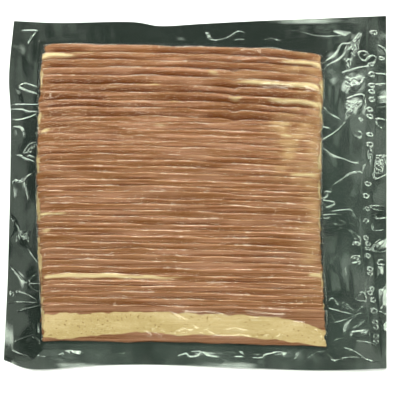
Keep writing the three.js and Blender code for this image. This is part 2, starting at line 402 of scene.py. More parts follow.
BACK_KINKS = [  # kinks of the film over the level slices at the back, as paths of photograph pixels
    [(242, 52), (248, 50), (258, 52), (255, 55), (246, 55), (242, 52)],
    [(229, 60), (236, 56), (246, 58), (243, 62), (234, 63), (229, 60)],
    [(253, 60), (260, 57), (272, 60), (268, 64), (258, 64), (253, 60)],
    [(273, 61), (280, 59), (290, 62), (284, 64), (276, 63)],
]
FRONT_KINKS = [  # kinks over the sloping slices: slope of the flanks, and the path
    (0.4, [(262, 198), (268, 205), (274, 212), (272, 219), (280, 225)]),
    (0.66, [(171, 309), (184, 311), (193, 312), (210, 312), (221, 314), (228, 313), (231, 311),
           (243, 310)]),
    (0.66, [(243, 310), (250, 311), (260, 313), (279, 314), (289, 312)]),
    (0.57, [(168, 310), (175, 314), (185, 320)]),
    (0.5, [(154, 310), (158, 315)]),
    (0.57, [(143, 330), (148, 334), (153, 336)]),
    (0.36, [(153, 328), (155, 332), (158, 335)]),
    (0.4, [(159, 329), (163, 332), (165, 336), (167, 339)]),
    (0.57, [(155, 332), (161, 336), (167, 339)]),
    (0.66, [(171, 332), (178, 332), (184, 329), (189, 330), (195, 330)]),
    (0.66, [(172, 334), (180, 333), (188, 332)]),
    (0.55, [(193, 326), (199, 330)]),
    (0.6, [(198, 332), (203, 333), (206, 329)]),
    (0.66, [(206, 329), (211, 334), (216, 336), (228, 336), (236, 336), (240, 335), (250, 337),
           (263, 337)]),
    (0.6, [(263, 337), (269, 335), (271, 331), (271, 328)]),
    (0.66, [(276, 337), (282, 334)]),
    (0.4, [(313, 328), (318, 334), (323, 340)]),
    (0.66, [(291, 322), (297, 322), (303, 323)]),
    (0.66, [(214, 315), (221, 317)]),
    (0.66, [(250, 317), (258, 318)]),
    (0.59, [(303, 89), (309, 91), (316, 92)]),
    (0.59, [(262, 86), (275, 87), (290, 88)]),
    (0.6, [(144, 330), (151, 336)]),
    (0.5, [(152, 328), (157, 335)]),
    (0.5, [(158, 328), (167, 339)]),
    (0.55, [(167, 311), (177, 316), (186, 320)]),
    (0.66, [(225, 330), (236, 329), (247, 331)]),
]
BAND_AXIS = [
    (373, 12), (372, 60), (371, 100), (369, 135), (366, 200), (366, 240), (369, 270), (375, 340), (376, 375),
]
BLISTERS = [  # photograph x and y, half width and half height
    (373, 33, 3.4, 2.3), (381, 59, 2.3, 1.7), (371, 65, 1.6, 1.4), (371, 75, 2.8, 2.8),
    (371, 86, 3.0, 2.4), (371, 92, 3.0, 2.2), (371, 100, 2.6, 2.4), (369, 110, 3.2, 2.3),
    (369, 117, 3.0, 2.2), (369, 135, 2.8, 2.0), (369, 145, 3.4, 2.3), (369, 154, 2.4, 7.5),
    (367, 184, 3.0, 2.3), (365, 196, 3.2, 2.3), (366, 209, 2.6, 2.0), (365, 221, 2.8, 2.2),
    (365, 238, 2.6, 2.2), (367, 244, 2.8, 2.0), (367, 249, 2.6, 1.8), (367, 256, 2.6, 2.2),
    (369, 269, 3.0, 2.2), (369, 274, 2.5, 1.6), (371, 289, 2.4, 2.0), (369, 293, 2.4, 1.8),
    (372, 300, 2.8, 2.4), (373, 311, 3.5, 3.0), (374, 322, 2.8, 2.2), (375, 327, 2.6, 1.8),
    (375, 336, 2.8, 2.0), (375, 341, 2.6, 1.8), (360, 120, 1.8, 1.5), (356, 244, 3.0, 1.6),
]
CRUMPLES = [  # crumpled facets of the margin film, by their corners in photograph pixels
    [(349, 44), (361, 34), (357, 55), (351, 57)],
    [(344, 60), (351, 58), (350, 68), (346, 70)],
    [(345, 78), (364, 77), (352, 87), (346, 96)],
    [(346, 101), (361, 102), (353, 113), (345, 121)],
    [(375, 157), (384, 160), (382, 172), (376, 176)],
    [(368, 148), (371, 148), (371, 160), (368, 160)],
    [(27, 153), (30, 146), (36, 143), (36, 148), (31, 153)],
    [(14, 179), (27, 178), (24, 183), (13, 183)],
    [(19, 229), (30, 231), (29, 242), (20, 238)],
    [(10, 290), (18, 290), (18, 297), (10, 296)],
    [(205, 33), (209, 33), (212, 39), (209, 41)],
    [(265, 40), (280, 40), (286, 43), (268, 43)],
]
FACETS = [  # flat facets of the margin film: the slope of their sides, and their corners
    (0.08, [(326, 222), (334, 217), (346, 222), (342, 231), (330, 233)]),
    (0.08, [(328, 257), (336, 257), (338, 265), (330, 265)]),
    (0.2, [(353, 241), (360, 241), (357, 246), (353, 246)]),
    (0.2, [(350, 257), (360, 256), (358, 261), (351, 261)]),
    (0.2, [(351, 262), (361, 261), (359, 265), (352, 265)]),
    (0.22, [(375, 243), (386, 237), (386, 247), (377, 250)]),
    (0.22, [(376, 266), (383, 266), (383, 275), (377, 277)]),
    (0.22, [(378, 289), (386, 287), (386, 306), (379, 309)]),
    (0.22, [(380, 321), (386, 321), (386, 331), (380, 331)]),
    (0.08, [(344, 322), (350, 318), (348, 330), (342, 335)]),
    (0.18, [(348, 331), (364, 329), (367, 333), (350, 338)]),
    (0.08, [(330, 28), (352, 32), (350, 42), (334, 44)]),
    (0.06, [(14, 88), (22, 92), (24, 104), (14, 103)]),
    (0.08, [(328, 268), (346, 266), (350, 296), (334, 298)]),
    (0.05, [(60, 347), (84, 350), (80, 357), (62, 356)]),
    (0.05, [(90, 350), (130, 350), (126, 358), (92, 357)]),
    (0.08, [(360, 98), (366, 104), (364, 116), (357, 116)]),
    (0.08, [(13, 184), (27, 184), (30, 200), (14, 198)]),
    (0.08, [(10, 212), (18, 220), (18, 232), (10, 238)]),
    (0.06, [(12, 126), (21, 127), (22, 140), (14, 138)]),
    (0.08, [(32, 322), (42, 318), (42, 336), (34, 338)]),
]
SHEENS = [  # photograph x and y, half width, half height and rise
    (310, 25, 30, 5, 0.4), (344, 224, 8, 5, 0.5), (330, 228, 6, 4, 0.4), (360, 332, 8, 5, 0.4),
    (335, 85, 9, 16, 0.6), (333, 60, 6, 6, 0.3), (120, 358, 30, 4, 0.3), (27, 190, 5, 10, 0.5),
    (22, 60, 5, 14, 0.4), (30, 325, 7, 8, 0.4), (24, 132, 5, 10, 0.5), (19, 238, 5, 6, 0.5),
    (26, 275, 8, 8, 0.4), (340, 262, 7, 6, 0.5), (335, 290, 8, 5, 0.4), (350, 195, 7, 6, 0.4),
    (75, 352, 12, 5, 0.4), (160, 355, 14, 5, 0.3), (230, 352, 12, 5, 0.4), (285, 355, 14, 5, 0.4),
]
PALE_PATCHES = [  # fatter meat: photograph x and y, half width, half height and strength
    (284, 126, 7, 9, 0.9), (292, 150, 14, 30, 0.6), (316, 130, 20, 75, 0.55), (308, 65, 20, 8, 0.7),
    (316, 240, 14, 60, 0.4), (250, 80, 20, 8, 0.3),
]

STREAKS = [  # pale streaks: photograph x from and to, y, distance of the middle line from the crest, strength
    (38, 86, 60, 2.6, 1.0),
    (38, 54, 134, 2.0, 0.9),
    (40, 73, 214, 1.8, 1.0),
    (42, 54, 231, 1.8, 0.8),
    (44, 210, 276, 2.0, 1.0),
    (272, 323, 65, 2.8, 0.9),
    (218, 321, 85, 2.8, 1.0),
    (226, 244, 101, 2.4, 0.8),
    (254, 321, 106, 2.4, 0.9),
    (274, 294, 126, 2.0, 0.8),
    (276, 296, 139, 2.0, 0.7),
    (273, 300, 150, 2.0, 0.5),
    (283, 317, 175, 2.0, 0.8),
    (304, 323, 275, 1.8, 0.9),
    (206, 220, 76, 2.6, 0.7),
    (150, 172, 125, 2.0, 0.5),
    (100, 125, 86, 2.4, 0.4),
]
LAST_STRIP_EDGE = [  # the upper edge of the last slice's pale band, and then its lower edge
    (40, 315), (60, 312), (85, 313), (120, 311), (160, 311), (200, 313), (240, 314), (280, 317),
    (300, 321), (318, 328), (330, 329),
]
LAST_CREAM_EDGE = [
    (40, 336), (62, 339), (85, 336), (120, 333), (150, 331), (175, 335), (200, 334), (230, 335),
    (260, 338), (290, 341), (312, 345), (330, 347),
]


def srgb(red, green, blue):
    """Linear colour of an sRGB colour given from 0 to 255."""
    share = np.array([red, green, blue]) / 255
    linear = np.where(share <= 0.04045, share / 12.92, ((share + 0.055) / 1.055) ** 2.4)
    return (*linear, 1.0)


MEAT_BROWN = srgb(115, 77, 48)
MEAT_PINK = srgb(130, 93, 70)
MEAT_PALE = srgb(142, 103, 79)
# painted shade of the valleys, also used to darken the last slice evenly
MEAT_DARK_AND_PAINTED_SHADE = srgb(76, 36, 8)
# paler crest rim: partly the meat's own edge colour, partly a painted highlight along the crest
MEAT_RIM_HIGHLIGHT = srgb(176, 134, 102)
MEAT_FAT = srgb(160, 128, 93)
MEAT_LIGHT = srgb(151, 109, 86)
MEAT_DEEP = srgb(104, 62, 32)
CREAM_DEEP = srgb(168, 145, 101)
CREAM_LIGHT = srgb(184, 161, 120)
CREAM_PALE = srgb(192, 172, 132)
CREAM_SPECK = srgb(120, 92, 48)
FILM_BLACK = srgb(17, 24, 20)
# painted sheen: the lighter green where the margin is slack
FILM_SHEEN_GREEN = srgb(40, 48, 43)


def from_photo(path):
    """Millimetres of a path of photograph pixels: the offset from the pack's middle, with y upwards."""
    pixels = np.array(path, float)
    return (pixels - PHOTO_ORIGIN) * (PIXEL, -PIXEL)


def smoothstep(low, high, value):
    """Eases from 0 to 1 between low and high: three times the share's square less twice its cube."""
    share = np.clip((value - low) / (high - low), 0, 1)
    return share * share * (3 - 2 * share)


def wander(x, seed, longest, shortest, count=6):
    """Aimless smooth curve, about one in size: sine waves of random phase, the long ones stronger."""
    rng = np.random.default_rng(seed)
    lengths = np.geomspace(longest, shortest, count) * rng.uniform(0.85, 1.15, count)
    phases = rng.uniform(0, 2 * np.pi, count)
    weights = np.sqrt(lengths) / np.sqrt(lengths.sum() / 2)
    total = np.zeros(np.shape(x))
    for length, phase, weight in zip(lengths, phases, weights):
        total += weight * np.sin(2 * np.pi * x / length + phase)
    return total


def ripples(x, y, seed, longest, shortest, count=9):
    """Aimless smooth surface, about one in size: plane waves in random directions."""
    rng = np.random.default_rng(seed)
    lengths = np.geomspace(longest, shortest, count)
    turns = rng.uniform(0, np.pi, count)
    phases = rng.uniform(0, 2 * np.pi, count)
    weights = np.sqrt(lengths) / np.sqrt(lengths.sum() / 2)
    total = np.zeros(np.broadcast(x, y).shape)
    for length, turn, phase, weight in zip(lengths, turns, phases, weights):
        along = x * np.cos(turn) + y * np.sin(turn)
        total += weight * np.sin(2 * np.pi * along / length + phase)
    return total


def smooth_path(points, steps=6):
    """Curve through points: on each stretch the cubic that leaves and meets them at the slopes of their
    neighbours."""
    points = np.asarray(points, float)
    if len(points) == 2:
        return points
    ends = np.vstack([2 * points[0] - points[1], points, 2 * points[-1] - points[-2]])
    before, start, end, after = ends[:-3], ends[1:-2], ends[2:-1], ends[3:]
    t = np.linspace(0, 1, steps, endpoint=False)[:, None, None]
    curve = 0.5 * (
        2 * start
        + (end - before) * t
        + (2 * before - 5 * start + 4 * end - after) * t**2
        + (3 * start - before - 3 * end + after) * t**3
    )
    return np.vstack([curve.transpose(1, 0, 2).reshape(-1, 2), points[-1:]])


def resample(points, count):
    """count points at even distances along a path."""
    steps = np.hypot(*np.diff(points, axis=0).T)
    along = np.concatenate([[0], np.cumsum(steps)])
    places = np.linspace(0, along[-1], count)
    return np.stack([np.interp(places, along, points[:, axis]) for axis in (0, 1)], axis=-1)


def grid_faces(rows, columns):
    """Four-sided faces of a grid of points, facing up where rows run to the front and columns to the
    right."""
    index = np.arange(rows * columns).reshape(rows, columns)
    faces = np.stack([index[:-1, :-1], index[1:, :-1], index[1:, 1:], index[:-1, 1:]], axis=-1)
    return faces.reshape(-1, 4)


def rim_faces(loop, count):
    """Faces of the rim along a loop of upper points, whose lower points are numbered count higher."""
    following = np.roll(loop, -1)
    return np.stack([loop, loop + count, following + count, following], axis=-1)


def mesh_object(name, points, faces, body="root"):
    """Smooth-shaded mesh of points in millimetres, riding on a body, with its place in its mesh."""
    mesh = bpy.data.meshes.new(name)
    mesh.vertices.add(len(points))
    mesh.vertices.foreach_set("co", (points * MM).astype(np.float32).ravel())
    mesh.loops.add(faces.size)
    mesh.loops.foreach_set("vertex_index", faces.astype(np.int32).ravel())
    mesh.polygons.add(len(faces))
    mesh.polygons.foreach_set("loop_start", np.arange(0, faces.size, 4, dtype=np.int32))
    mesh.update(calc_edges=True)
    mesh.validate()
    mesh.shade_smooth()
    piece = bpy.data.objects.new(name, mesh)
    bpy.context.scene.collection.objects.link(piece)
    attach(piece, body)
    return piece


def sheet_object(name, top, bottom):
    """Closed thin sheet: an upper and a lower grid of points, joined by a rim along their borders."""
    rows, columns = top.shape[:2]
    count = rows * columns
    upper = grid_faces(rows, columns)
    lower = upper[:, ::-1] + count
    index = np.arange(count).reshape(rows, columns)
    loop = np.concatenate([index[:-1, 0], index[-1, :-1], index[:0:-1, -1], index[0, :0:-1]])
    points = np.concatenate([top.reshape(-1, 3), bottom.reshape(-1, 3)])
    piece = mesh_object(name, points, np.concatenate([upper, lower, rim_faces(loop, count)]))
    piece.data.set_sharp_from_angle(angle=SHARP_EDGE)
    return piece


# Places of the slices, from the solids
SLICE_NAMES = sorted(name for name in frame["nodes"] if name.startswith("slice_"))
BOXES = [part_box(name) for name in SLICE_NAMES]
SLICE_COUNT = len(SLICE_NAMES)
LEFT_END = np.array([low[0] for low, high in BOXES]) / MM
RIGHT_END = np.array([high[0] for low, high in BOXES]) / MM
CREST_Y = np.array([high[1] for low, high in BOXES]) / MM
DROP = np.linspace(FIRST_DROP, LAST_DROP, SLICE_COUNT)
FOOT_Y = np.array([low[1] for low, high in BOXES]) / MM + DROP
LAST = SLICE_COUNT - 1
BEND_POWER = np.linspace(FIRST_BEND_POWER, LAST_BEND_POWER, SLICE_COUNT)


def feet_behind(y):
    """How many slices have their foot behind a place: the distance ahead over the pitch, which has two
    stretches."""
    ahead = np.maximum(FIRST_FOOT_Y - y, 0)
    wide = np.minimum(ahead, WIDE_STEPS * WIDE_PITCH)
    return wide / WIDE_PITCH + (ahead - wide) / SLICE_PITCH


def forward(order, x):
    """How far a slice lies to the front at x: its drop times a power of the share of its length."""
    share = np.clip((x - LEFT_END[order]) / (RIGHT_END[order] - LEFT_END[order]), 0, 1)
    return -DROP[order] * share ** BEND_POWER[order]


def corner_droop(order, x):
    """How far a crest bends to the front at a slice's rounded corners: the square of the share of its
    reach."""
    left = 1 - np.clip((x - LEFT_END[order]) / CORNER_REACH, 0, 1)
    right = 1 - np.clip((RIGHT_END[order] - x) / CORNER_REACH, 0, 1)
    return -CORNER_DROOP * (left**2 + RIGHT_CORNER_SHARE * right**2)


def shift(order, x):
    """How far a slice's face lies to the front at x: its own lie and its rounded corners."""
    return forward(order, x) + corner_droop(order, x)


def crest_dip(order, x):
    """How far a crest dips to the front at one place: a bell of the distance from it, for some slices."""
    (place, back), (_, front) = from_photo([(DIP_X, row) for row in DIP_ROWS])
    depth = DIP_DEPTH if front < CREST_Y[order] < back else 0
    return -depth * np.exp(-(((x - place) / DIP_WIDTH) ** 2))


def crest_line(order, x):
    """A crest's y along x: its place, its lie, its rounded corners, a dip and an aimless run."""
    straight = CREST_Y[order] + shift(order, x) + crest_dip(order, x)
    return straight + CREST_WANDER * wander(x, seed=100 + order, longest=220, shortest=32)


def strip_gap(order, x):
    """How much of a slice shows between its crest and the next one."""
    return np.maximum(crest_line(order, x) - crest_line(order + 1, x), LEAST_STRIP)


def valley_width(order, x):
    """How far before the next crest the film leaves a slice, uneven along x, wider over level slices and
    narrower at the pile's ends."""
    usual = LEVEL_VALLEY_WIDTH if CREST_Y[order + 1] > FIRST_FOOT_Y else VALLEY_WIDTH
    inside = HALF_PILE - np.abs(x - pile_centre(CREST_Y[order]))
    uneven = 1 + VALLEY_UNEVENNESS * wander(x, seed=1900 + order, longest=90, shortest=10)
    share = END_VALLEY_SHARE + (1 - END_VALLEY_SHARE) * smoothstep(*END_VALLEY, inside)
    return np.minimum(usual * uneven * share, WIDEST_VALLEY * strip_gap(order, x))


def pile_centre(y):
    """Centre line of the pile: a parabola of the distance from its straightest place."""
    return PILE_CENTRE_X + PILE_BOW * (np.maximum(y, CREST_Y[LAST]) - PILE_BOW_Y) ** 2


def settle(x, y, height):
    """Height after the pile has settled: it sags towards the slices' ends and unevenly between."""
    inside = HALF_PILE - np.abs(x - pile_centre(y))
    sag = END_SAG * (1 - np.clip(inside / END_REACH, 0, 1)) ** 2
    uneven = ripples(x, y, seed=7, longest=160, shortest=45, count=5) - 1
    swell = SWELL * uneven * np.clip(height / SWELL_HEIGHT, 0, 1)
    return PILE_BASE + (height - PILE_BASE) * (1 - sag) + swell


def slice_top(order, y):
    """Height of a slice's upper face, unsettled: a step for each slice under it, and its own thickness."""
    return PILE_BASE + SLICE_STEP * (order - feet_behind(y)) + SLICE_THICKNESS


# Materials
def new_material(name):
    """An empty node material with one principled shader."""
    material = bpy.data.materials.new(name)
    material.use_nodes = True
    return material, material.node_tree, material.node_tree.nodes["Principled BSDF"]


def set_inputs(node, **values):
    """Sets a node's inputs, whose names have low lines for spaces."""
    for name, value in values.items():
        node.inputs[name.replace("_", " ")].default_value = value


def add(tree, kind, **settings):
    """Adds a node, with settings that name its inputs or its own properties."""
    made = tree.nodes.new(kind)
    for name, value in settings.items():
        if hasattr(made, name):
            setattr(made, name, value)
        else:
            set_inputs(made, **{name: value})
    return made


def stored(tree, name):
    """A number that the piece stores at its points."""
    return add(tree, "ShaderNodeAttribute", attribute_name=name).outputs["Fac"]


def noise(tree, scale, stretch=(1, 1, 1), detail=4.0):
    """Noise on the piece's own place, stretched along the axes."""
    place = add(tree, "ShaderNodeTexCoord")
    mapping = add(tree, "ShaderNodeMapping", Scale=stretch)
    made = add(tree, "ShaderNodeTexNoise", Scale=scale, Detail=detail, Roughness=0.55)
    tree.links.new(place.outputs["Object"], mapping.inputs["Vector"])
    tree.links.new(mapping.outputs["Vector"], made.inputs["Vector"])
    return made.outputs["Fac"]


def ramp(tree, value, low, high):
    """Eases a value from 0 at low to 1 at high."""
    made = add(tree, "ShaderNodeMapRange", interpolation_type="SMOOTHSTEP", From_Min=low, From_Max=high)
    tree.links.new(value, made.inputs["Value"])
    return made.outputs["Result"]


def blend(tree, share, first, second):
    """Mixes two colours, each a fixed colour or an output."""
    made = add(tree, "ShaderNodeMix", data_type="RGBA")
    tree.links.new(share, made.inputs["Factor"])
    for socket, colour in ((made.inputs[MIX_FIRST], first), (made.inputs[MIX_SECOND], second)):
        if isinstance(colour, tuple):
            socket.default_value = colour
        else:
            tree.links.new(colour, socket)
    return made.outputs[MIX_RESULT]


def plus(tree, first, second, factor):
    """first plus factor times second."""
    made = add(tree, "ShaderNodeMath", operation="MULTIPLY_ADD")
    tree.links.new(second, made.inputs[0])
    made.inputs[1].default_value = factor
    tree.links.new(first, made.inputs[2])
    return made.outputs[0]


def relief(tree, shader, height, strength, distance):
    """Bumps a shader by a height."""
    bump = add(tree, "ShaderNodeBump", Strength=strength, Distance=distance)
    tree.links.new(height, bump.inputs["Height"])
    tree.links.new(bump.outputs["Normal"], shader.inputs["Normal"])


def meat_material():
    """Cured turkey: pink to brown along the slice, paler at its crest and in fat patches, cream with dark
    specks where the pale band lies. The paler crest is partly its own edge and partly a painted highlight,
    and the valleys are darkened by painted shade."""
    material, tree, shader = new_material("cured_turkey")
    broad = noise(tree, scale=60, stretch=(0.35, 1.6, 1.6))
    fine = noise(tree, scale=420, stretch=(0.5, 1, 1), detail=6.0)
    specks = noise(tree, scale=520, detail=1.0)
    grain = noise(tree, scale=60, stretch=(0.3, 11, 3), detail=3.0)
    flesh = plus(tree, stored(tree, "tone"), broad, factor=0.9)
    colour = blend(tree, ramp(tree, flesh, low=0.2, high=1.0), MEAT_BROWN, MEAT_PINK)
    colour = blend(tree, ramp(tree, fine, low=0.52, high=0.78), colour, MEAT_PALE)
    colour = blend(tree, ramp(tree, grain, low=0.5, high=0.64), colour, MEAT_LIGHT)
    colour = blend(tree, ramp(tree, grain, low=0.48, high=0.34), colour, MEAT_DEEP)
    # paler rim along each crest, partly a painted highlight
    colour = blend(tree, stored(tree, "rim"), colour, MEAT_RIM_HIGHLIGHT)
    colour = blend(tree, stored(tree, "fat"), colour, MEAT_FAT)
    streak = plus(tree, stored(tree, "streak"), grain, factor=0.8)
    colour = blend(tree, ramp(tree, streak, low=0.6, high=1.35), colour, CREAM_PALE)
    # painted shade in the valleys between crests, and the last slice's even darkening
    colour = blend(tree, stored(tree, "valley"), colour, MEAT_DARK_AND_PAINTED_SHADE)
    cream = blend(tree, ramp(tree, broad, low=0.35, high=0.7), CREAM_DEEP, CREAM_LIGHT)
    cream = blend(tree, ramp(tree, fine, low=0.5, high=0.8), cream, CREAM_PALE)
    cream = blend(tree, ramp(tree, specks, low=0.66, high=0.72), cream, CREAM_SPECK)
    edge = plus(tree, stored(tree, "cream_depth"), fine, factor=1.6)
    colour = blend(tree, ramp(tree, edge, low=0.45, high=1.15), colour, cream)
    tree.links.new(colour, shader.inputs["Base Color"])
    set_inputs(shader, Roughness=0.5, Specular_IOR_Level=0.03)
    relief(tree, shader, plus(tree, grain, fine, factor=0.4), strength=0.6, distance=0.0008)
    return material


def clear_film_material(name, unevenness):
    """Clear glossy packaging film, which is finely uneven."""
    material, tree, shader = new_material(name)
    set_inputs(shader, Base_Color=(0.97, 0.99, 0.97, 1), Roughness=0.06, Transmission_Weight=1.0)
    set_inputs(shader, IOR=1.5, Specular_IOR_Level=1.0, Specular_Tint=(1.0, 0.94, 0.87, 1))
    relief(tree, shader, noise(tree, scale=500, detail=2.0), strength=unevenness, distance=0.0006)
    return material, tree, shader


def margin_film_material():
    """Clear film where it is welded to the back film: greenish gloss, duller where the haze says so."""
    material, tree, shader = clear_film_material("clear_margin_film", unevenness=0.03)
    set_inputs(shader, IOR=1.8, Specular_Tint=(0.92, 1.0, 0.9, 1))
    dullness = add(tree, "ShaderNodeMapRange", To_Min=0.05, To_Max=0.12)
    tree.links.new(stored(tree, "haze"), dullness.inputs["Value"])
    tree.links.new(dullness.outputs["Result"], shader.inputs["Roughness"])
    return material


def dark_film_material():
    """Dark green-black back film with a soft sheen, and a painted sheen that makes it lighter and greener in
    patches where the margin is slack.
    """
    material, tree, shader = new_material("dark_back_film")
    # painted sheen: lighter green in patches where the margin is slack
    shade = plus(tree, noise(tree, scale=30, detail=5.0), stored(tree, "slack"), factor=0.5)
    colour = blend(tree, ramp(tree, shade, low=0.68, high=1.1), FILM_BLACK, FILM_SHEEN_GREEN)
    tree.links.new(colour, shader.inputs["Base Color"])
    set_inputs(shader, Roughness=0.3, Specular_IOR_Level=0.12)
    relief(tree, shader, noise(tree, scale=90), strength=0.25, distance=0.001)
    return material


# The slices
def section(run_points):
    """Section of a slice, round from the foot over the top to the crest and back underneath: the distance
    from the crest and the share of the thickness. Both edges are quarter ellipses above a low nose."""
    radius = SLICE_THICKNESS / 2
    foot = np.radians(FOOT_ANGLES)
    crest = np.radians(CREST_ANGLES)
    share = np.linspace(1, 0, run_points) ** RUN_CROWDING
    run = radius + EDGE_GAP + share * (SLICE_RUN - 2 * radius - 2 * EDGE_GAP)
    foot_distance = SLICE_RUN - radius + radius * np.cos(foot)
    distance = np.concatenate([foot_distance, run, radius - radius * np.cos(crest)])
    rise = np.concatenate([np.sin(foot), np.ones(run_points), np.sin(crest)])
    over = EDGE_NOSE + (1 - EDGE_NOSE) * rise
    under = EDGE_NOSE * (1 - rise[::-1]) - UNDERSIDE_DROP
    return np.concatenate([distance, distance[::-1]]), np.concatenate([over, under])


def streak_share(order, x, distance):
    """How pale a slice is in its streaks, from 0 to 1: a bell of the distance from the middle line of each,
    eased away at its two ends, slowly where it ends inside the pile."""
    total = np.zeros(np.broadcast(x, distance).shape)
    for start, end, row, middle_line, strength in STREAKS:
        (left, y), (right, _) = from_photo([(start, row), (end, row)])
        middle = np.array([(left + right) / 2])
        if order < LAST and crest_line(order + 1, middle)[0] <= y < crest_line(order, middle)[0]:
            slow_fade = STREAK_TAPER * (right - left)
            left_fade = STREAK_BLUNT_END if start < STREAK_ENDS[0] else slow_fade
            right_fade = STREAK_BLUNT_END if end > STREAK_ENDS[1] else slow_fade
            begun = smoothstep(left - STREAK_EASE, left + left_fade, x)
            ended = smoothstep(right - right_fade, right + STREAK_EASE, x)
            aside = STREAK_WANDER * wander(x, seed=500 + start, longest=40, shortest=6)
            apart = distance - middle_line - aside
            across = np.exp(-((apart / (STREAK_WIDTH * strip_gap(order, x))) ** 2))
            total = np.maximum(total, strength * begun * (1 - ended) * across)
    return total


def cream_depth(order, x, distance):
    """How deep a point lies inside the pale band: the lesser of its distances to the band's two edges."""
    if order == LAST:
        crest = crest_line(order, x)
        upper = from_photo(LAST_STRIP_EDGE)
        lower = from_photo(LAST_CREAM_EDGE)
        top = crest - np.interp(x, upper[:, 0], upper[:, 1])
        top = top + LAST_UPPER_WANDER * wander(x, seed=61, longest=26, shortest=6)
        bottom = crest - np.interp(x, lower[:, 0], lower[:, 1])
        bottom = bottom + LAST_LOWER_WANDER * wander(x, seed=62, longest=30, shortest=7)
    else:
        top = CREAM_START + CREAM_WANDER * wander(x, seed=300 + order, longest=150, shortest=14)
        bottom = top + CREAM_WIDTH
    return np.minimum(distance - top, bottom - distance)


def slice_columns(order):
    """x along a slice, close together at its ends."""
    left, right = LEFT_END[order], RIGHT_END[order]
    middle = np.linspace(left + MIDDLE_START, right - MIDDLE_START, MIDDLE_COLUMNS)
    return np.concatenate([left + END_COLUMNS, middle, right - END_COLUMNS[::-1]])


def add_attribute(piece, name, values):
    """Stores one number for each point of a piece."""
    attribute = piece.data.attributes.new(name, "FLOAT", "POINT")
    attribute.data.foreach_set("value", np.asarray(values, np.float32).ravel())


def painted_valley_shade(order, x, distance):
    """How deep in a valley's painted shade a point lies, from 0 to 1: eased in across the strip, up to the
    next crest. The last slice is instead darkened evenly by the same colour."""
    if order == LAST:
        return LAST_SHADE + 0 * distance
    gap = strip_gap(order, x)
    start, end, usual = WIDE_SHADOW if order < WIDE_STEPS else NARROW_SHADOW
    start = start + SHADOW_START_SPREAD * np.random.default_rng(1400 + order).uniform()
    usual = usual - RIGHT_SHADOW_LOSS * smoothstep(*RIGHT_STRETCH, x)
    uneven = SHADOW_WANDER * wander(x, seed=1300 + order, longest=200, shortest=24)
    depth = np.clip(usual + uneven, LEAST_SHADOW, 1)
    return depth * smoothstep(start * gap, end * gap, distance)


def fat_share(order, x, y):
    """How fat a slice is, from 0 to 1: soft patches, a little to one side on each slice, and uneven."""
    aside = np.random.default_rng(1800 + order).uniform(-PATCH_SHIFT, PATCH_SHIFT)
    uneven = PATCH_LEVEL + PATCH_UNEVENNESS * ripples(x, y, seed=41, longest=30, shortest=6)
    return np.clip(mounds(x + aside, y, PALE_PATCHES) * uneven, 0, 1)


def slice_tone(order, x):
    """How pink a slice is: its own tone, wandering along it, browner in the wide strips."""
    if order == LAST:
        return LAST_TONE + 0 * x
    own = np.random.default_rng(1500 + order).uniform(-1, 1)
    along = wander(x, seed=1700 + order, longest=200, shortest=30)
    return TONE_SPREAD * own + TONE_SPREAD * along + (WIDE_TONE if order < WIDE_STEPS else 0)


def store_colours(piece, order, x, y):
    """Stores where a slice is cream, darkened (painted valley shade, and the last slice's even darkening),
    fat, pale at its rim (partly a painted highlight), and how pink it is.
    """
    distance = crest_line(order, x) - y
    inside = np.minimum(x - LEFT_END[order], RIGHT_END[order] - x)
    middle = smoothstep(*END_STRETCH, inside)
    broken = np.clip(0.5 + 0.5 * wander(x, seed=1600 + order, longest=60, shortest=8), 0, 1)
    colours = {
        "cream_depth": cream_depth(order, x, distance),
        # painted shade in the valleys
        "valley": middle * painted_valley_shade(order, x, distance),
        "fat": fat_share(order, x, y),
        "streak": streak_share(order, x, distance),
        # paler crest rim, partly a painted highlight, broken along the crest
        "rim": RIM_HIGHLIGHT_STRENGTH * np.exp(-((distance / RIM_HIGHLIGHT_WIDTH) ** 2)) * broken * middle,
        "tone": slice_tone(order, x),
    }
    for name, values in colours.items():
        add_attribute(piece, name, np.broadcast_to(values, y.shape))


def slab_points(order):
    """Points of a slice: the section carried along the crest line, with the foot on its own line. A point's
    height is the pile's there, and the ends are rounded off, ragged and spread. Also x and y without that."""
    distance, share = section(LAST_RUN_POINTS if order == LAST else RUN_POINTS)
    distance, share = distance[:, None], share[:, None]
    x = slice_columns(order)[None, :]
    crest = crest_line(order, x)
    foot = FOOT_Y[order] + forward(order, x)
    foot = foot + FOOT_WANDER * wander(x, seed=700 + order, longest=90, shortest=15)
    y = crest - distance * (crest - foot) / SLICE_RUN
    from_end = np.minimum(x - LEFT_END[order], RIGHT_END[order] - x)
    roundness = np.sqrt(1 - (1 - np.clip(from_end / END_ROUNDING + LEAST_ROUNDNESS, 0, 1)) ** 2)
    upper = slice_top(order, y - shift(order, x))
    height = upper - SLICE_THICKNESS / 2 + SLICE_THICKNESS * (share - 0.5) * roundness
    ragged = END_RAGGEDNESS * wander(distance, seed=900 + order, longest=14, shortest=3)
    ragged = ragged * (1 - smoothstep(0, RAGGED_REACH, from_end))
    spread = END_SPREAD * distance * (1 - smoothstep(0, SPREAD_REACH, from_end))
    outward = np.where(x < pile_centre(CREST_Y[order]), -1, 1)
    spread_x = x + (spread - ragged) * outward
    points = np.stack(np.broadcast_arrays(spread_x, y, settle(spread_x, y, height)), axis=-1)
    return x, y, points


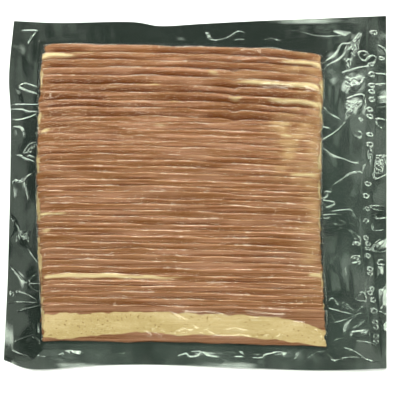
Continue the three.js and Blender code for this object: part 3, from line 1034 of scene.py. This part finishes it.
def slab_faces(rows, columns):
    """Faces of a slice whose rows run round its section: its sides, and at each end a cap between the upper
    and the lower half of the section."""
    index = np.arange(rows * columns).reshape(rows, columns)
    around = np.concatenate([index, index[:1]])
    corners = [around[:-1, :-1], around[:-1, 1:], around[1:, 1:], around[1:, :-1]]
    faces = [np.stack(corners, axis=-1).reshape(-1, 4)]
    half = rows // 2
    for column, turn in ((0, 1), (columns - 1, -1)):
        upper = index[:half, column]
        lower = index[:half - 1:-1, column]
        cap = np.stack([upper[:-1], upper[1:], lower[1:], lower[:-1]], axis=-1)
        faces.append(cap[:, ::turn])
    return np.concatenate(faces)


def bacon_slice(order, material):
    """One slice of bacon, in the place of its solid."""
    x, y, points = slab_points(order)
    faces = slab_faces(*points.shape[:2])
    piece = mesh_object(f"bacon_{SLICE_NAMES[order]}", points.reshape(-1, 3), faces)
    store_colours(piece, order, x, y)
    piece.data.materials.append(material)
    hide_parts(SLICE_NAMES[order])


# The margin
def edge_points(points, count):
    """count points along one edge of the pouch."""
    return resample(smooth_path(points, EDGE_STEPS), count)


def outside_pile(x, y):
    """Distance outside the film's foot round the pile."""
    beside = np.abs(x - pile_centre(y)) - HALF_PILE - FOOT_RUN
    behind = y - CREST_Y[0] - FOOT_RUN
    ahead = FOOT_Y[LAST] - LAST_DROP - FOOT_RUN - y
    return np.maximum(np.maximum(beside, behind), np.maximum(ahead, 0))


def slackness(x, y):
    """How slack the margin is, from 0 to 1: taut at the back and left, slackest in front and at the right."""
    side = smoothstep(*SIDE_STRETCH, y)
    outer = np.maximum(smoothstep(*OUTER_RIGHT, x), smoothstep(*OUTER_FRONT, y))
    slack = LEAST_SLACK + SIDE_SLACK * side + OUTER_SLACK * outer
    return slack * (1 - LEFT_TAUTNESS * smoothstep(*LEFT_STRETCH, x))


def margin_wave(x, y):
    """How far both films wave up in the margin: nothing at the pile, growing outwards, as a sine of x bent
    by y, with aimless waves where the margin is slack, and a slope up to the front edge."""
    share = np.minimum(outside_pile(x, y) / MARGIN_REACH, 1) * (1 - BACK_CALM * smoothstep(*BACK_STRETCH, y))
    wave = MARGIN_LIFT * (0.5 + 0.5 * np.sin(x / WAVE_LENGTH_X + np.sin(y / WAVE_LENGTH_Y)))
    aimless = ripples(x, y, seed=58, longest=60, shortest=24, count=5)
    slack = SLACK_HEIGHT * slackness(x, y) * (SLACK_LEVEL + aimless)
    ahead = np.maximum(FRONT_RISE_Y - y, 0)
    slack = slack * (1 - FRONT_CALM * smoothstep(0, FRONT_CALM_RUN, ahead))
    front = FRONT_RISE * ahead**2 / (ahead + FRONT_ROUNDING) * smoothstep(*FRONT_CORNER, x)
    return np.maximum(share * wave + smoothstep(0, 1, share) * slack + front, 0)


def path_distance(x, y, points):
    """Distance of each place from a path, and the share of the path travelled there."""
    start, end = points[:-1], points[1:]
    step = end - start
    from_x = x[:, None] - start[:, 0]
    from_y = y[:, None] - start[:, 1]
    along = np.clip((from_x * step[:, 0] + from_y * step[:, 1]) / (step**2).sum(axis=1), 0, 1)
    gap = np.hypot(from_x - along * step[:, 0], from_y - along * step[:, 1])
    nearest = gap.argmin(axis=1)
    rows = np.arange(len(nearest))
    return gap[rows, nearest], (nearest + along[rows, nearest]) / len(step)


def near_path(x, y, points, reach):
    """Which places lie inside a path's box, widened by a reach."""
    low = points.min(axis=0) - reach
    high = points.max(axis=0) + reach
    return (x > low[0]) & (x < high[0]) & (y > low[1]) & (y < high[1])


def along_paths(x, y, paths, width, profile):
    """Relief along paths: at places near each path, the height that a profile gives for the path's slope,
    the distance from it, the share of it travelled and its count of corners and number."""
    total = np.zeros(x.shape)
    for number, (slope, path) in enumerate(paths):
        points = smooth_path(from_photo(path))
        near = near_path(x, y, points, width)
        if near.any():
            distance, travelled = path_distance(x[near], y[near], points)
            height = profile(slope, distance, travelled, len(path), number)
            total[near] = np.maximum(total[near], height)
    return total


def taper(travelled, steepness, least):
    """Share of its full height that a relief has along a path: straight up from the path's ends."""
    return np.clip(steepness * travelled, least, 1) * np.clip(steepness * (1 - travelled), least, 1)


def ridges(x, y, paths, width, unevenness=0):
    """Height of creases: along each path a ridge with straight flanks of its slope, which wanders by its
    unevenness and is lower at the path's ends."""

    def ridge(slope, distance, travelled, corners, number):
        """Straight flanks: the slope times what is left of the width."""
        along = wander(travelled * corners, seed=2300 + number, longest=4, shortest=0.7)
        uneven = 1 + unevenness * along
        return slope * uneven * taper(travelled, *CREASE_TAPER) * np.maximum(width - distance, 0)

    return along_paths(x, y, paths, width, ridge)


def folds(x, y):
    """Height of broad folds: along each path half a cosine of the distance, lower at the path's ends."""

    def fold(slope, distance, travelled, corners, number):
        """Half a cosine whose steepest slope is the given one."""
        rise = 0.5 + 0.5 * np.cos(np.pi * np.clip(distance / FOLD_WIDTH, 0, 1))
        height = slope * 2 * FOLD_WIDTH / np.pi
        return height * taper(travelled, *FOLD_TAPER) * rise

    return along_paths(x, y, FOLDS, FOLD_WIDTH, fold)


def pile_outline():
    """Corners of the film's foot round the pile: back left, front left, front right and back right."""
    reach = HALF_INSIDE + FOOT_RUN
    back_left = (pile_centre(CREST_Y[0]) - reach, CREST_Y[0] + FOOT_RUN)
    front_left = (pile_centre(CREST_Y[LAST]) - reach, FOOT_Y[LAST] - FOOT_RUN)
    front_right = (pile_centre(CREST_Y[LAST]) + reach, FOOT_Y[LAST] - FOOT_RUN - DROP[LAST])
    back_right = (pile_centre(CREST_Y[0]) + reach, CREST_Y[0] + FOOT_RUN - DROP[0])
    return back_left, front_left, front_right, back_right


def foot_paths():
    """The film's foot along the pile's left, front, right and back: the pile's bow at the sides, and the
    first and last slices' droop at the back and front."""
    back_left, front_left, front_right, back_right = pile_outline()
    share = np.linspace(0, 1, FOOT_POINTS)
    left_y = back_left[1] + share * (front_left[1] - back_left[1])
    left = np.stack([pile_centre(left_y) - HALF_INSIDE - FOOT_RUN, left_y], axis=-1)
    front_x = front_left[0] + share * (front_right[0] - front_left[0])
    front = np.stack([front_x, FOOT_Y[LAST] - FOOT_RUN + forward(LAST, front_x)], axis=-1)
    right_y = front_right[1] + share * (back_right[1] - front_right[1])
    right = np.stack([pile_centre(right_y + DROP[0]) + HALF_INSIDE + FOOT_RUN, right_y], axis=-1)
    back_x = back_right[0] + share * (back_left[0] - back_right[0])
    back = np.stack([back_x, CREST_Y[0] + FOOT_RUN + forward(0, back_x)], axis=-1)
    return left, front, right, back


def cut_edge(points, x):
    """The stretch of a pouch edge from its left end up to x."""
    path = smooth_path(points, EDGE_STEPS)
    y = np.interp(x, path[:, 0], path[:, 1])
    return np.vstack([path[path[:, 0] < x], (x, y)])


def spot_distance(x, y, spot):
    """Distance from a spot as a share of its half width and half height, and those halves. A spot is given
    by its place and its halves in photograph pixels."""
    centre = from_photo([spot[:2]])[0]
    half = np.array(spot[2:4]) * PIXEL
    return np.hypot((x - centre[0]) / half[0], (y - centre[1]) / half[1]), half


def blisters(x, y):
    """Height of the seal's blisters: an elliptic ring each, with straight flanks."""
    total = np.zeros(x.shape)
    for blister in BLISTERS:
        apart, half = spot_distance(x, y, blister)
        distance = np.abs(apart - BLISTER_RING) * half.min()
        total = np.maximum(total, BLISTER_SLOPE * np.maximum(BLISTER_BORDER - distance, 0))
    return total


def mounds(x, y, spots):
    """Soft mounds over spots, each with its rise: a bell of the distance from its middle."""
    total = np.zeros(x.shape)
    for *spot, rise in spots:
        apart, _ = spot_distance(x, y, spot)
        total = total + rise * np.exp(-(apart**2))
    return total


def seal_band(x, y):
    """Relief of the seal band: sunk between two borders, with blisters along its axis, and beyond it film
    that slopes up to the pouch's edge."""
    axis = smooth_path(from_photo(BAND_AXIS))[::-1]
    from_axis = x - np.interp(y, axis[:, 1], axis[:, 0])
    sunk = -BAND_DEPTH * (0.5 - 0.5 * np.tanh((np.abs(from_axis) - BAND_HALF_WIDTH) / BAND_BORDER))
    uneven = SEAL_LEVEL + SEAL_UNEVENNESS * wander(y, seed=35, longest=80, shortest=14)
    beyond = SEAL_SLOPE * np.maximum(from_axis - BAND_HALF_WIDTH, 0) * uneven
    return sunk + beyond + blisters(x, y)


def inside_facet(x, y, corners):
    """How far inside a convex facet a place lies: the least of its distances from the facet's sides."""
    points = from_photo(corners)
    depth = np.full(x.shape, np.inf)
    centre = points.mean(axis=0)
    for start, end in zip(points, np.roll(points, -1, axis=0)):
        along = (end - start) / np.hypot(*(end - start))
        inward = np.array([-along[1], along[0]])
        inward = inward * np.sign(inward @ (centre - start))
        depth = np.minimum(depth, (x - start[0]) * inward[0] + (y - start[1]) * inward[1])
    return depth


def facets(x, y):
    """Relief of flat facets: a low roof over each, as high as its slope times the depth inside it."""
    total = np.zeros(x.shape)
    for slope, corners in FACETS:
        total = np.maximum(total, slope * inside_facet(x, y, corners))
    return total


def crumples(x, y):
    """Relief of crumpled facets: short ripples in all directions, eased in over a millimetre or so."""
    patch = np.zeros(x.shape)
    for corners in CRUMPLES:
        patch = np.maximum(patch, smoothstep(*CRUMPLE_EASE, inside_facet(x, y, corners)))
    crumpled = ripples(x, y, seed=27, longest=3.6, shortest=1.5)
    return patch * CRUMPLE_HEIGHT * (CRUMPLE_LEVEL + crumpled)


def margin_height(x, y):
    """Top of the clear film in the margin: the back film under it, the margin's wave, and outside the
    pile's foot creases, crumples, facets, soft folds and mounds and the seal band."""
    creases = [(CREASE_SLOPE, path) for path in LEFT_CREASES + BOTTOM_CREASES + RIGHT_CREASES]
    creases += [(TOP_CREASE_SLOPE, path) for path in TOP_CREASES]
    outside = outside_pile(x, y)
    aimless = SOFT_RIPPLE * ripples(x, y, seed=21, longest=60, shortest=12)
    soft = mounds(x, y, SHEENS) + folds(x, y) + seal_band(x, y) + aimless
    sharp = ridges(x, y, creases, CREASE_WIDTH, CREASE_UNEVENNESS) + crumples(x, y) + facets(x, y)
    lift = soft * smoothstep(0, FOOT_EASE, outside) + sharp * smoothstep(0, CREASE_EASE, outside)
    return margin_wave(x, y) + FOOT_HEIGHT + CLEAR_THICKNESS + lift


def film_piece(name, x, y, top, material):
    """Piece of clear film, as thick as the film is everywhere; lamps shine through it."""
    upper = np.stack([x, y, top], axis=-1)
    lower = np.stack([x, y, top - CLEAR_THICKNESS], axis=-1)
    piece = sheet_object(name, upper, lower)
    piece.data.materials.append(material)
    piece.visible_shadow = False
    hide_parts("clear_film")
    return piece


def margin_strip(name, inner, outer, shape, material):
    """Strip of margin film: straight blends from an inner to an outer path, at the margin's height."""
    rows, columns = shape
    inner, outer = resample(inner, columns), resample(outer, columns)
    outward = np.linspace(0, 1, rows)[:, None, None]
    flat = inner + (outer - inner) * outward
    x, y = flat[..., 0], flat[..., 1]
    piece = film_piece(name, x, y, margin_height(x, y), material)
    uneven = HAZE_LEVEL + HAZE_UNEVENNESS * ripples(x, y, seed=25, longest=70, shortest=14)
    haze = np.clip(slackness(x, y) * uneven, 0, 1)
    add_attribute(piece, "haze", np.concatenate([haze, haze]))


def halves(path):
    """A path cut at half its length."""
    points = resample(path, 2 * HALF_POINTS + 1)
    return points[:HALF_POINTS + 1], points[HALF_POINTS:]


def margin_film(material):
    """Clear film of the margin: a strip along each side of the pile, and the seal band beyond the right
    one."""
    left, front, right, back = foot_paths()
    top_edge = cut_edge(TOP_EDGE, BAND_START)
    bottom_edge = cut_edge(BOTTOM_EDGE, BAND_START)
    left_edge = smooth_path(LEFT_EDGE, EDGE_STEPS)
    border = np.array([bottom_edge[-1], top_edge[-1]])
    right_edge = np.array(RIGHT_EDGE[::-1])
    margin_strip("back_margin_film", back, top_edge[::-1], BACK_STRIP, material)
    margin_strip("left_margin_film", left, left_edge, LEFT_STRIP, material)
    margin_strip("front_margin_film", front, bottom_edge, FRONT_STRIP, material)
    for end, inner, outer in zip(("front", "back"), halves(right), halves(border)):
        margin_strip(f"right_{end}_margin_film", inner, outer, RIGHT_STRIP, material)
    for end, inner, outer in zip(("front", "back"), halves(border), halves(right_edge)):
        margin_strip(f"seal_{end}_film", inner, outer, SEAL_STRIP, material)


def back_film(material):
    """Dark back film: a grid between the pouch's left and right edges, stretched to its top and bottom
    edges, and lifted by the margin's wave."""
    rows, columns = BACK_SHEET
    top_edge = edge_points(TOP_EDGE, columns)
    bottom_edge = edge_points(BOTTOM_EDGE, columns)
    left_edge = edge_points(LEFT_EDGE, rows)[:, None]
    right_edge = edge_points(RIGHT_EDGE, rows)[:, None]
    down = np.linspace(0, 1, rows)[:, None, None]
    across = np.linspace(0, 1, columns)[None, :, None]
    flat = (1 - down) * top_edge + down * bottom_edge + (1 - across) * left_edge + across * right_edge
    corners = (1 - down) * ((1 - across) * top_edge[0] + across * top_edge[-1])
    corners = corners + down * ((1 - across) * bottom_edge[0] + across * bottom_edge[-1])
    flat = flat - corners
    wave = margin_wave(flat[..., 0], flat[..., 1])
    upper = np.concatenate([flat, (wave + BACK_THICKNESS)[..., None]], axis=-1)
    lower = np.concatenate([flat, wave[..., None]], axis=-1)
    piece = sheet_object("back_film_sheet", upper, lower)
    # the slack also sets where the painted sheen lightens the film
    slack = slackness(flat[..., 0], flat[..., 1])
    add_attribute(piece, "slack", np.concatenate([slack, slack]))
    piece.data.materials.append(material)
    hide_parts("back_film")


# The film over the pile
def film_columns(count):
    """Across the pile from -1 to 1, and the shares of the fall at its two ends."""
    even = np.linspace(-EVEN_SHARE, EVEN_SHARE, count)
    across = np.concatenate([np.negative(NEAR_END[::-1]), even, NEAR_END])
    wall = np.linspace(0, 1, WALL_COLUMNS + 1)[1:]
    left = np.stack([np.full(WALL_COLUMNS, -1.0), wall[::-1]])
    right = np.stack([np.full(WALL_COLUMNS, 1.0), wall])
    middle = np.stack([across, np.zeros(across.size)])
    return np.concatenate([left, middle, right], axis=1)


def glint_width(order, x):
    """Width of the flat facet that the film makes along a crest: in rows of beads here and there, and
    next to nothing between them and near the slices' ends."""
    inside = HALF_PILE - np.abs(x - pile_centre(CREST_Y[order]))
    long_waves = wander(x, seed=2100 + order, longest=90, shortest=10, count=8)
    short_waves = wander(x, seed=2500 + order, longest=9, shortest=4.2, count=4)
    stretches = smoothstep(*GLINT_STRETCHES, long_waves) * smoothstep(*GLINT_ENDS, inside)
    beads = smoothstep(*GLINT_BEADS, short_waves)
    return LEAST_GLINT + (GLINT_WIDTH - LEAST_GLINT) * stretches * beads


def cubic(share, run, start, start_slope, end, end_slope):
    """Height along the cubic with given heights and slopes at both ends of a run."""
    rise = (2 * share**3 - 3 * share**2 + 1) * start + (3 * share**2 - 2 * share**3) * end
    bend = (share**3 - 2 * share**2 + share) * start_slope + (share**3 - share**2) * end_slope
    return rise + run * bend


def film_top(order, x, distance):
    """Height at which film lies on a slice, a distance in front of its crest. On a level slice it stands
    higher at the crest."""
    y = crest_line(order, x) - distance
    level = LEVEL_LIFT if CREST_Y[order] > FIRST_FOOT_Y else 0
    stand = level * np.clip(1 - distance / WIDE_PITCH, 0, 1)
    return slice_top(order, y - shift(order, x)) + FILM_CLEARANCE + stand


def slice_slope(order, x, distance):
    """Slope of a slice's face to the front, measured over a millimetre."""
    return film_top(order, x, distance) - film_top(order, x, distance - 1)


def facet_rows(order, x):
    """Rows of film over a crest: a flat facet that rises to the front, centred on the crest."""
    crest = crest_line(order, x)
    height = film_top(order, x, 0 * x)
    width = glint_width(order, x)
    rows = []
    for share in FACET_SHARES:
        rows.append((x, crest - share * width, height + GLINT_SLOPE * share * width))
    return rows


def settling_rows(order, x, run):
    """Rows of film in front of a crest's facet: a cubic down to the slice, over a run."""
    crest = crest_line(order, x)
    half = glint_width(order, x) / 2
    start = film_top(order, x, 0 * x) + GLINT_SLOPE * half
    lie = film_top(order, x, half + run) + FILM_LIFT
    rows = []
    for share in SETTLING_SHARES:
        height = cubic(share, run, start, CREST_SLOPE, lie, slice_slope(order, x, half + run))
        rows.append((x, crest - half - share * run, height))
    return rows


def strip_rows(order, x):
    """Rows of film from one crest to the next: its facet, down to the slice, along it, and straight up to
    the next crest's facet."""
    crest = crest_line(order, x)
    half = glint_width(order, x) / 2
    next_half = glint_width(order + 1, x) / 2
    valley = valley_width(order, x)
    leave = strip_gap(order, x) - next_half - valley
    run = np.minimum(CREST_RUN, LONGEST_SETTLING * (leave - half))
    settled = half + run
    lie = film_top(order, x, leave) + FILM_LIFT
    arrive = film_top(order + 1, x, 0 * x) - GLINT_SLOPE * next_half
    level = CREST_Y[order] > FIRST_FOOT_Y
    rows = facet_rows(order, x) + settling_rows(order, x, run)
    for share in LEVEL_RUN_SHARES if level else ():
        distance = settled + share * (leave - settled)
        rows.append((x, crest - distance, film_top(order, x, distance) + FILM_LIFT))
    rows.append((x, crest - leave + BEND, film_top(order, x, leave - BEND) + FILM_LIFT))
    middle = LEVEL_SHARES if level else ()
    for share in (0 * x, BEND / valley, *middle, 1 - BEND / valley):
        rows.append((x, crest - leave - share * valley, lie + share * (arrive - lie)))
    return rows


def joined_rows(rows):
    """Rows of x, y and height as three grids."""
    shape = rows[0][0].shape
    return [np.stack([np.broadcast_to(row[part], shape) for row in rows]) for part in range(3)]


def strip_film_rows(across):
    """Rows of film from the margin behind the pile, strip by strip, to the last crest. Also the numbers of
    the rows where it may be cut, which lie in valleys."""
    x = pile_centre(CREST_Y[0]) + across * HALF_INSIDE
    crest = crest_line(0, x)
    foot = CREST_Y[0] + forward(0, x) + FOOT_RUN
    rise = film_top(0, x, 0 * x) - FOOT_HEIGHT
    rows = []
    for share in FOOT_SHARES[::-1]:
        rows.append((x, crest + (foot - crest) * share, FOOT_HEIGHT + rise * (1 - share)))
    cuts = []
    for order in range(LAST):
        rows += strip_rows(order, pile_centre(CREST_Y[order]) + across * HALF_INSIDE)
        if order in CUT_SLICES:
            cuts.append(len(rows) - CUT_ROW)
    x = pile_centre(CREST_Y[LAST]) + across * HALF_INSIDE
    rows.append(facet_rows(LAST, x)[0])
    return joined_rows(rows), cuts


def last_film_rows(across):
    """Rows of film along the last slice, from its crest to the margin in front of the pile."""
    x = pile_centre(CREST_Y[LAST]) + across * HALF_INSIDE
    crest = crest_line(LAST, x)
    foot = FOOT_Y[LAST] + forward(LAST, x)
    settled = glint_width(LAST, x) / 2 + CREST_RUN
    rows = facet_rows(LAST, x) + settling_rows(LAST, x, CREST_RUN)
    for share in np.linspace(0, 1, LAST_ROWS)[1:]:
        distance = settled + share * (crest - foot - settled)
        rows.append((x, crest - distance, film_top(LAST, x, distance) + FILM_LIFT * (1 - share)))
    rise = rows[-1][2] - FOOT_HEIGHT
    for share in FOOT_SHARES:
        rows.append((x, foot - FOOT_RUN * share, FOOT_HEIGHT + rise * (1 - share)))
    return joined_rows(rows)


def pile_film_grids(rows, across, fall):
    """x, y and the top of film over the pile. At the ends it falls to the margin along half a cosine, and
    small ruffles and kinks break up its gloss."""
    x, y, height = rows
    low, high = RUFFLE_HEIGHTS
    raised = np.clip((height - low) / (high - low), 0, 1)
    ruffle = RUFFLE * ripples(x, 2 * y, seed=31, longest=40, shortest=6) * raised
    back_kinks = [(BACK_KINK_SLOPE, path) for path in BACK_KINKS]
    kinks = ridges(x, y, back_kinks + FRONT_KINKS, KINK_WIDTH)
    drop = 0.5 + 0.5 * np.cos(np.pi * fall)
    rise = settle(x, y, height) + ruffle + kinks - FOOT_HEIGHT
    top = FOOT_HEIGHT + rise * drop + CLEAR_THICKNESS
    return x + np.sign(across) * FOOT_RUN * fall, y, top


def pile_film(material):
    """Clear film over the pile: three pieces over the strips, and a finer one over the last slice."""
    parts = (("back", BACK_COLUMNS), ("middle", FILM_COLUMNS), ("lower", FILM_COLUMNS))
    for number, (name, count) in enumerate(parts):
        columns = film_columns(count)
        rows, cuts = strip_film_rows(columns[0])
        start, end = [0, *cuts, len(rows[0]) - 1][number:number + 2]
        rows = [grid[start:end + 1] for grid in rows]
        film_piece(f"{name}_pile_film", *pile_film_grids(rows, *columns), material)
    columns = film_columns(LAST_COLUMNS)
    rows = last_film_rows(columns[0])
    film_piece("front_pile_film", *pile_film_grids(rows, *columns), material)


# The stage
def camera():
    """Camera straight above, far off, framed as the photograph is."""
    data = bpy.data.cameras.new("camera")
    data.sensor_width = CAMERA_SENSOR
    data.lens = CAMERA_SENSOR * CAMERA_DISTANCE / (PHOTO_SIDE * PIXEL)
    made = bpy.data.objects.new("camera", data)
    centre = from_photo([(PHOTO_SIDE / 2, PHOTO_SIDE / 2)])[0]
    made.location = (centre[0] * MM, centre[1] * MM, CAMERA_DISTANCE * MM)
    bpy.context.scene.collection.objects.link(made)
    bpy.context.scene.camera = made


def soften(lamp):
    """Makes a panel fade towards its border: its glow eases away with the distance from its middle."""
    lamp.use_nodes = True
    tree = lamp.node_tree
    place = add(tree, "ShaderNodeNewGeometry")
    away = add(tree, "ShaderNodeVectorMath", operation="DISTANCE")
    away.inputs[1].default_value = (0.5, 0.5, 0)
    tree.links.new(place.outputs["Parametric"], away.inputs[0])
    glow = ramp(tree, away.outputs["Value"], low=0.5, high=0.2)
    tree.links.new(glow, tree.nodes["Emission"].inputs["Strength"])


def panel(name, polar, turn, size, radiance):
    """Soft panel facing the pack: polar degrees from straight above, turned clockwise from the back."""
    polar, turn = math.radians(polar), math.radians(turn)
    data = bpy.data.lights.new(name, "AREA")
    data.shape = "RECTANGLE"
    data.size, data.size_y = size
    data.energy = radiance * math.pi * size[0] * size[1]
    data.color = LIGHT_COLOUR
    soften(data)
    made = bpy.data.objects.new(name, data)
    made.visible_camera = False
    made.visible_transmission = False
    away = LIGHT_DISTANCE * math.sin(polar)
    made.location = (away * math.sin(turn), away * math.cos(turn), LIGHT_DISTANCE * math.cos(polar))
    made.rotation_euler = (polar, 0, math.pi - turn)
    bpy.context.scene.collection.objects.link(made)


def lights():
    """One large soft panel behind the pack, small ones on the other sides, and two dim ones overhead."""
    panel("back_panel", PANEL_POLAR, turn=0, size=(1.5, 0.95), radiance=11.5)
    for turn in SIDE_TURNS:
        panel(f"side_panel_{turn}", PANEL_POLAR, turn, size=(0.5, 0.55), radiance=9)
    for turn in CORNER_TURNS:
        panel(f"corner_panel_{turn}", PANEL_POLAR, turn, size=(0.5, 0.33), radiance=9)
    panel("left_haze", HAZE_POLAR, turn=270, size=(0.8, 0.44), radiance=0.7)
    panel("right_haze", HAZE_POLAR, turn=90, size=(0.8, 0.44), radiance=0.8)


def floor():
    """Wide plain pale floor."""
    half = FLOOR_HALF * MM
    corners = [(-half, half, 0), (-half, -half, 0), (half, -half, 0), (half, half, 0)]
    mesh = bpy.data.meshes.new("floor")
    mesh.from_pydata(corners, [], [(0, 1, 2, 3)])
    made = bpy.data.objects.new("floor", mesh)
    bpy.context.scene.collection.objects.link(made)
    material, tree, shader = new_material("pale_floor")
    set_inputs(shader, Base_Color=FLOOR_COLOUR, Roughness=0.9)
    made.data.materials.append(material)


def world():
    """Dim even surroundings."""
    made = bpy.data.worlds.new("surroundings")
    made.use_nodes = True
    set_inputs(made.node_tree.nodes["Background"], Color=WORLD_COLOUR)
    bpy.context.scene.world = made


camera()
floor()
lights()
world()
bpy.context.scene.view_settings.view_transform = "Standard"

MEAT = meat_material()
CLEAR = clear_film_material("clear_pile_film", unevenness=0.6)[0]
MARGIN = margin_film_material()
DARK = dark_film_material()
for slice_order in range(SLICE_COUNT):
    bacon_slice(slice_order, MEAT)
back_film(DARK)
margin_film(MARGIN)
pile_film(CLEAR)
